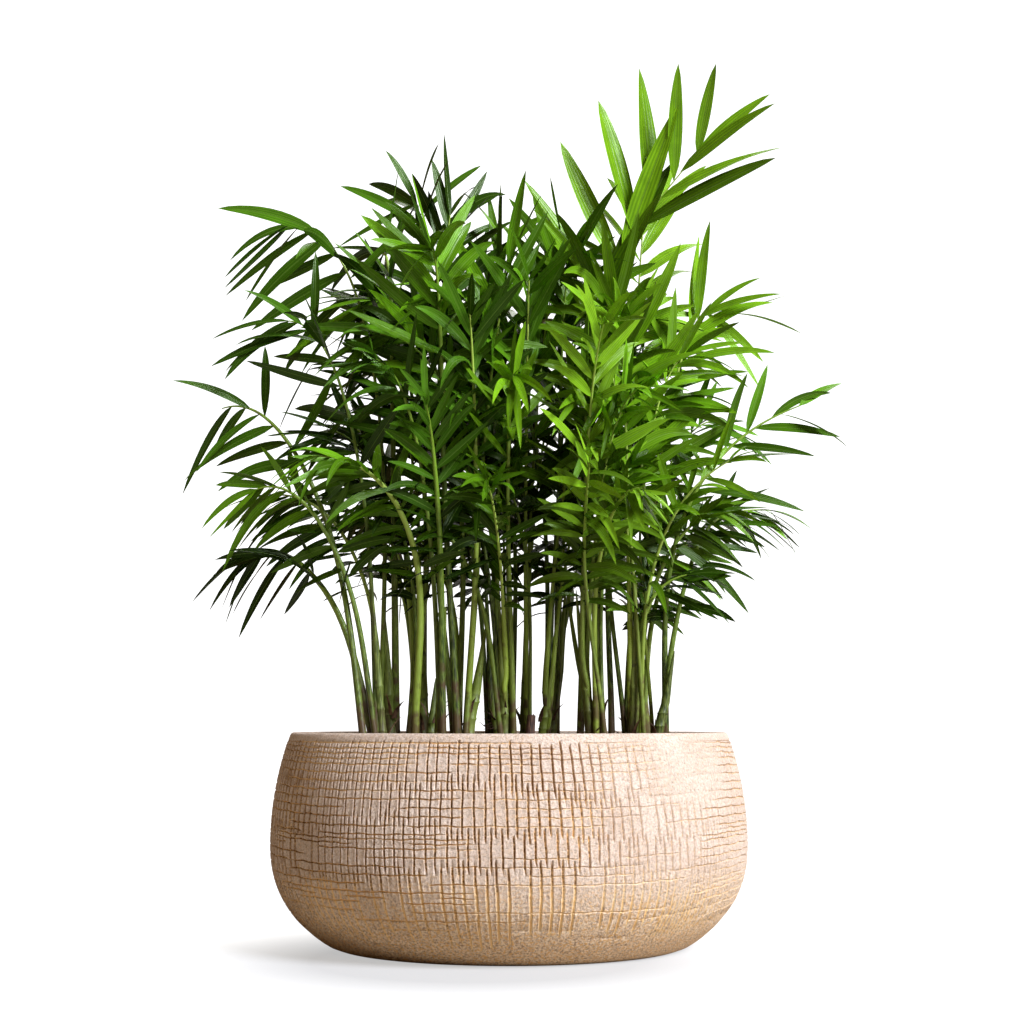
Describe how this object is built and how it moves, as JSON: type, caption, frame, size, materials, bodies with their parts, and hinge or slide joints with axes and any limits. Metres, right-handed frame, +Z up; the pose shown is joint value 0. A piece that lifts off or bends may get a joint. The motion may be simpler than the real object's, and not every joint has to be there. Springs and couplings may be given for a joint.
{
  "type": "potted parlour palm",
  "caption": "Bushy parlour palm: three tufts of slender canes with arching feather fronds, growing in a wide round-bellied bowl filled with soil.",
  "frame": {"origin": "centre of the bowl's flat underside", "axes": "+Z up; the pictured front faces -Y; +X is to the right as seen from the front"},
  "size_m": [0.6523, 0.44, 0.8324],
  "materials": {
    "bowl": "matte sandy plaster, scratched with an uneven cross-hatch whose grooves carry a thin rubbed-in gold",
    "soil": "damp dark potting soil",
    "canes": "smooth green cane with pale leaf-scar rings and dry brown sheath remains",
    "fronds": "semi-gloss green leaflets on pale green stalks"
  },
  "bodies": {
    "root": {"pot": "bowl", "potting_soil": "soil", "cane_left_1": "canes", "cane_left_2": "canes", "cane_left_3": "canes", "cane_left_4": "canes", "cane_left_5": "canes", "cane_left_6": "canes", "cane_middle_1": "canes", "cane_middle_2": "canes", "cane_middle_3": "canes", "cane_middle_4": "canes", "cane_middle_5": "canes", "cane_middle_6": "canes", "cane_right_1": "canes", "cane_right_2": "canes", "cane_right_3": "canes", "cane_right_4": "canes", "cane_right_5": "canes", "cane_right_6": "canes", "cane_right_7": "canes", "fronds_left_1_a": "fronds", "fronds_left_1_b": "fronds", "fronds_left_2_a": "fronds", "fronds_left_2_b": "fronds", "fronds_left_3_a": "fronds", "fronds_left_3_b": "fronds", "fronds_left_4_a": "fronds", "fronds_left_4_b": "fronds", "fronds_left_5_a": "fronds", "fronds_left_5_b": "fronds", "fronds_left_6_a": "fronds", "fronds_left_6_b": "fronds", "fronds_middle_1_a": "fronds", "fronds_middle_1_b": "fronds", "fronds_middle_2_a": "fronds", "fronds_middle_2_b": "fronds", "fronds_middle_3_a": "fronds", "fronds_middle_3_b": "fronds", "fronds_middle_4_a": "fronds", "fronds_middle_4_b": "fronds", "fronds_middle_5_a": "fronds", "fronds_middle_5_b": "fronds", "fronds_middle_6_a": "fronds", "fronds_middle_6_b": "fronds", "fronds_right_1_a": "fronds", "fronds_right_1_b": "fronds", "fronds_right_2_a": "fronds", "fronds_right_2_b": "fronds", "fronds_right_3_a": "fronds", "fronds_right_3_b": "fronds", "fronds_right_4_a": "fronds", "fronds_right_4_b": "fronds", "fronds_right_5_a": "fronds", "fronds_right_5_b": "fronds", "fronds_right_6_a": "fronds", "fronds_right_6_b": "fronds", "fronds_right_7_a": "fronds", "fronds_right_7_b": "fronds"}
  },
  "joints": []
}
